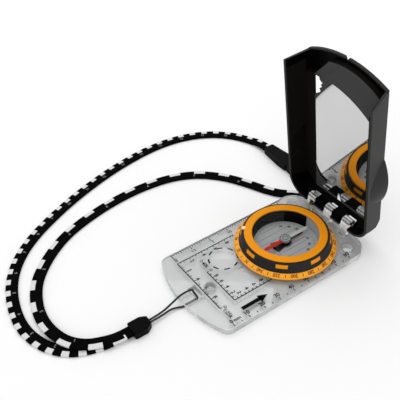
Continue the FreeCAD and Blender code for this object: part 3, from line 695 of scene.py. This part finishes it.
# corner scales for maps: corner, millimetres per step, marks per step, way along X
LINE = 0.6
for corner_x, corner_y, step, per_step, way in (
    (-23.24, -58.07, 4.0, 2, 1),
    (16.69, -48.48, 2.5, 1, -1),
):
    marks.append(bar(corner_x, corner_y, corner_x + way * step * 10, corner_y, LINE, top))
    marks.append(bar(corner_x, corner_y, corner_x, min(corner_y + step * 10, -19.0), LINE, top))
    for number in range(10 * per_step + 1):
        x = corner_x + way * step / per_step * number
        y = corner_y + step / per_step * number
        tall = 1.3 if number % per_step == 0 else 0.8
        marks.append(bar(x, corner_y, x, corner_y + tall, TICK, top))
        if y < -19.5:
            marks.append(bar(corner_x, y, corner_x + way * tall, y, TICK, top))
    for number in (2, 4, 6, 8, 10):
        if number < 10:
            flat_label(str(number), 3.2, corner_x + way * step * number, corner_y + 2.6,
                       top, 0, labels)
        if corner_y + step * number < -22:
            flat_label(str(number), 3.2, corner_x + way * 2.9, corner_y + step * number,
                       top, 0, labels)
flat_label("1:25k", 3.1, 21.6, -56.6, top, 0, labels)
flat_label("10", 2.3, 17.2, -55.4, top, 0, labels)
flat_label("1:40k", 3.1, -14.6, -46.2, top, 0, labels)
flat_label("10", 2.3, -8.6, -45.9, top, 0, labels)

# broken ring around the lens
for number in range(8):
    marks += arc_marks(-11.4, -35.2, top, 7.8, 8.7, 45 * number + 12, 3.9, 6, overlap=0.1)

# index line toward the dial, and a plain direction arrow
ARROW_X = 23.6
marks.append(bar(0, -33.4, 0, -30.2, 0.35, top))
marks.append(bar(ARROW_X, -49.0, ARROW_X, -36.0, 2.3, top))
marks.append([place(ARROW_X - 2.5, -37.6, top), place(ARROW_X + 2.5, -37.6, top),
              place(ARROW_X, -32.0, top)])

print_mesh("plate_scales", INK, "plate", marks)
print_letters("plate_numbers", INK, "plate", labels)

# ---------------------------------------------------------------- dial graduation
SLOPE_RISE = SKIRT_TOP / MM - SLOPE_LOW
SLOPE_RUN = SLOPE_OUTER - SLOPE_INNER
dial_marks = []
dial_labels = []


def on_skirt(radius, angle, lift=0.03):
    """Point on the sloping face of the skirt; radius in millimetres."""
    z = SLOPE_LOW + (SLOPE_OUTER - radius) / SLOPE_RUN * SLOPE_RISE + lift
    return place(radius * math.cos(angle), radius * math.sin(angle), z)


for degree in range(0, 360, 2):
    if degree % 20 == 0:
        continue
    angle = math.radians(90 - degree)
    half = math.radians(0.25 if degree % 10 else 0.45)
    low, high = (28.55, 28.2) if degree % 10 else (28.5, 27.0)
    dial_marks.append([on_skirt(low, angle - half), on_skirt(low, angle + half),
                       on_skirt(high, angle + half), on_skirt(high, angle - half)])
slope_turn = math.atan2(SLOPE_RISE, SLOPE_RUN)
for degree in range(0, 360, 20):
    # north of the dial points to the lanyard end, as it was left
    angle = math.radians(-90 - degree)
    matrix = (Matrix.Translation(on_skirt(27.5, angle, 0.04))
              @ Matrix.Rotation(angle - math.pi / 2, 4, "Z")
              @ Matrix.Rotation(-slope_turn, 4, "X"))
    text = {0: "N", 180: "S"}.get(degree, str(degree))
    lettering(text, 2.6 * MM, matrix, dial_labels)
print_mesh("dial_degrees", INK_DIAL, "dial", dial_marks)
print_letters("dial_numbers", INK_DIAL, "dial", dial_labels)

# ---------------------------------------------------------------- capsule floor printing
floor_z = FLOOR_DISC / MM + INK_LIFT
FINE = 0.16
floor_marks = []
for x in (-13.5, -9.5, -5.5, 5.5, 9.5, 13.5):
    reach = math.sqrt(15.2 ** 2 - x * x)
    floor_marks.append(bar(x, -reach, x, reach, FINE, floor_z))
for degree in range(0, 360, 5):
    angle = math.radians(degree)
    inner_r, outer_r = (15.6, 17.2) if degree % 10 == 0 else (16.4, 17.2)
    c, s = math.cos(angle), math.sin(angle)
    floor_marks.append(bar(inner_r * c, inner_r * s, outer_r * c, outer_r * s, FINE, floor_z))
# painted shadow of the needle's hub: a dark ring printed on the capsule floor under it
floor_marks += circle_marks(3.5, 3.85, floor_z)
floor_labels = []
for degree in range(-60, 61, 20):
    if degree:
        angle = math.radians(90 + degree)
        flat_label(str(abs(degree)), 1.9, 13.6 * math.cos(angle), 13.6 * math.sin(angle),
                   floor_z, degree, floor_labels)
red_marks = [
    bar(-2.9, -11.0, -2.9, 12.5, 0.3, floor_z),
    bar(2.9, -11.0, 2.9, 12.5, 0.3, floor_z),
    bar(-2.9, -11.0, 0, -15.0, 0.3, floor_z),
    bar(2.9, -11.0, 0, -15.0, 0.3, floor_z),
]
print_mesh("capsule_lines", INK, "dial", floor_marks)
print_letters("capsule_numbers", INK, "dial", floor_labels)
print_mesh("capsule_arrow", INK_RED, "dial", red_marks)
# painted edge shade: dark rings on the rim and the collar of the hub's disc, where the clear
# disc's edges look dark
print_mesh("hub_painted_edge_shade", INK, "needle",
           circle_marks(2.85, 3.15, 7.86) + circle_marks(1.45, 1.7, 8.05))


# ---------------------------------------------------------------- marks on the tapes
def tape_marks(name, points, lengths, start, gap, stop):
    """Small light figures on the inner half of a tape; distances in metres."""
    store = []
    wanted = start
    number = 1
    for index in range(1, len(points) - 1):
        if lengths[index] < wanted or lengths[index] > stop:
            continue
        ahead = (points[index + 1] - points[index - 1]).normalized()
        side = Vector((0, 0, 1)).cross(ahead).normalized()
        up = ahead.cross(side)
        spot = points[index] - side * 0.0014 + up * (WEBBING_THICK / 2 + INK_LIFT * MM)
        turned = Matrix((ahead, side, up)).transposed().to_4x4()
        lettering(str(number), 0.0024, Matrix.Translation(spot) @ turned, store)
        number += 1
        wanted += gap
    print_letters(name, INK_LIGHT, "plate", store)


tape_marks("tape_figures_outer", outer_line, outer_steps, 0.024, 0.016, 0.3)
tape_marks("tape_figures_inner", inner_line, inner_steps, 0.03, 0.0312, 0.255)


# ---------------------------------------------------------------- floor and light
def add_stage():
    """White table, even white surroundings and two soft lamps."""
    bpy.ops.mesh.primitive_plane_add(size=6, location=(0, 0, 0))
    floor = bpy.context.object
    floor.name = "floor"
    item, tree, shader, output = new_material("floor_white")
    shader.inputs["Base Color"].default_value = (0.9, 0.9, 0.9, 1)
    shader.inputs["Roughness"].default_value = 0.9
    floor.data.materials.append(item)
    world = bpy.data.worlds.new("studio")
    world.use_nodes = True
    background = world.node_tree.nodes["Background"]
    background.inputs["Color"].default_value = (1, 1, 1, 1)
    background.inputs["Strength"].default_value = 0.9
    bpy.context.scene.world = world
    for name, spot, size, power in (
        ("key", (-0.9, 0.7, 2.4), 1.6, 16.0),
        ("fill", (1.6, -1.4, 1.9), 1.4, 5.0),
    ):
        data = bpy.data.lights.new(name, "AREA")
        data.size = size
        data.energy = power
        item = bpy.data.objects.new(name, data)
        item.location = spot
        item.rotation_euler = (-Vector(spot)).to_track_quat("-Z", "Y").to_euler()
        item.visible_glossy = False
        bpy.context.scene.collection.objects.link(item)
    bpy.context.scene.view_settings.view_transform = "Standard"


add_stage()
